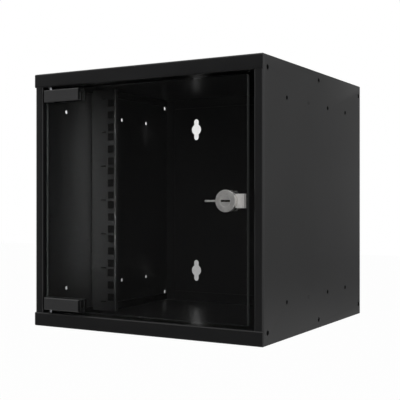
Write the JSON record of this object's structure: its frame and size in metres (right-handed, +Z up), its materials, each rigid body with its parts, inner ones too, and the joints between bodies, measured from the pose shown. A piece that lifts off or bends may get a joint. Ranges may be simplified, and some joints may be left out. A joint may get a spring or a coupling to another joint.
{
  "type": "wall mount network cabinet",
  "caption": "Wall mount network cabinet: folded black steel box with punched rack rails and a glass door on pivot hinges with a cam lock.",
  "frame": {"origin": "centre of the back panel's outer face, which lies on the wall", "axes": "+Y into the wall, so the door faces -Y; +Z up; +X to the right of someone facing the door, so the hinge side is -X and the lock side +X"},
  "size_m": [0.306, 0.3083, 0.3046],
  "materials": {
    "satin_black": "satin black powder coat",
    "hinge_black": "satin black finish on cast zinc",
    "black_steel": "blackened steel",
    "zinc_steel": "bright zinc-plated steel",
    "lock_nickel": "satin nickel",
    "door_glass": "clear toughened glass with polished edges",
    "rubber": "black rubber",
    "black_plastic": "black nylon"
  },
  "bodies": {
    "cabinet": {"top_cover": "satin_black", "bottom_cover": "satin_black", "left_side_panel": "satin_black", "right_side_panel": "satin_black", "back_panel": "satin_black", "left_rail": "satin_black", "right_rail": "satin_black", "rail_screws": "zinc_steel", "upper_pin_bush": "black_plastic", "lower_pin_bush": "black_plastic"},
    "door": {"door_glass": "door_glass", "upper_hinge_block": "hinge_black", "lower_hinge_block": "hinge_black", "upper_hinge_pads": "rubber", "lower_hinge_pads": "rubber", "upper_clamp_plate": "zinc_steel", "lower_clamp_plate": "zinc_steel", "hinge_set_screws": "black_steel", "upper_hinge_pin": "zinc_steel", "lower_hinge_pin": "zinc_steel", "pull_plate": "lock_nickel", "lock_barrel": "lock_nickel", "lock_nut": "lock_nickel", "lock_gaskets": "rubber"},
    "lock_core": {"lock_plug": "lock_nickel", "lock_cam": "zinc_steel", "cam_screw": "zinc_steel"}
  },
  "joints": [
    {"name": "door_hinge", "type": "hinge", "parent": "cabinet", "child": "door", "pos_m": [-0.131, -0.2973, 0], "axis": [0, 0, -1], "range_deg": [0, 115]},
    {"name": "lock_turn", "type": "hinge", "parent": "door", "child": "lock_core", "pos_m": [0.113, -0.2998, -0.001], "axis": [0, 1, 0], "range_deg": [0, 180]}
  ]
}
